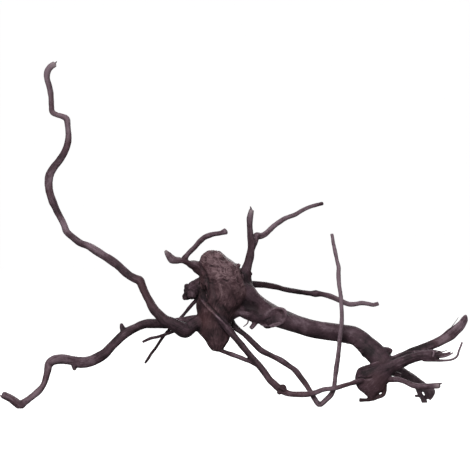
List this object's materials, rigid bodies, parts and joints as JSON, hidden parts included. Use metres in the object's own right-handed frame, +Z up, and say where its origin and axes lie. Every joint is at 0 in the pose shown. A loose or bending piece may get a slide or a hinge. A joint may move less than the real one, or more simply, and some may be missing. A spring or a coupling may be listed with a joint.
{
  "type": "spiderwood root",
  "caption": "Branching spiderwood root with a gnarled burl, long crooked limbs and a splayed, frayed end, standing on low points of its roots.",
  "frame": {"origin": "middle of the box round the root, at the height of the surface that it stands on", "axes": "+X along the root from the long left limb to the splayed end, +Y from front to back, +Z up"},
  "size_m": [0.4638, 0.1472, 0.346],
  "materials": {
    "wood": "dry, weathered bark-free wood, dark purple-brown"
  },
  "bodies": {
    "root": {"spiderwood_root": "wood"}
  },
  "joints": []
}
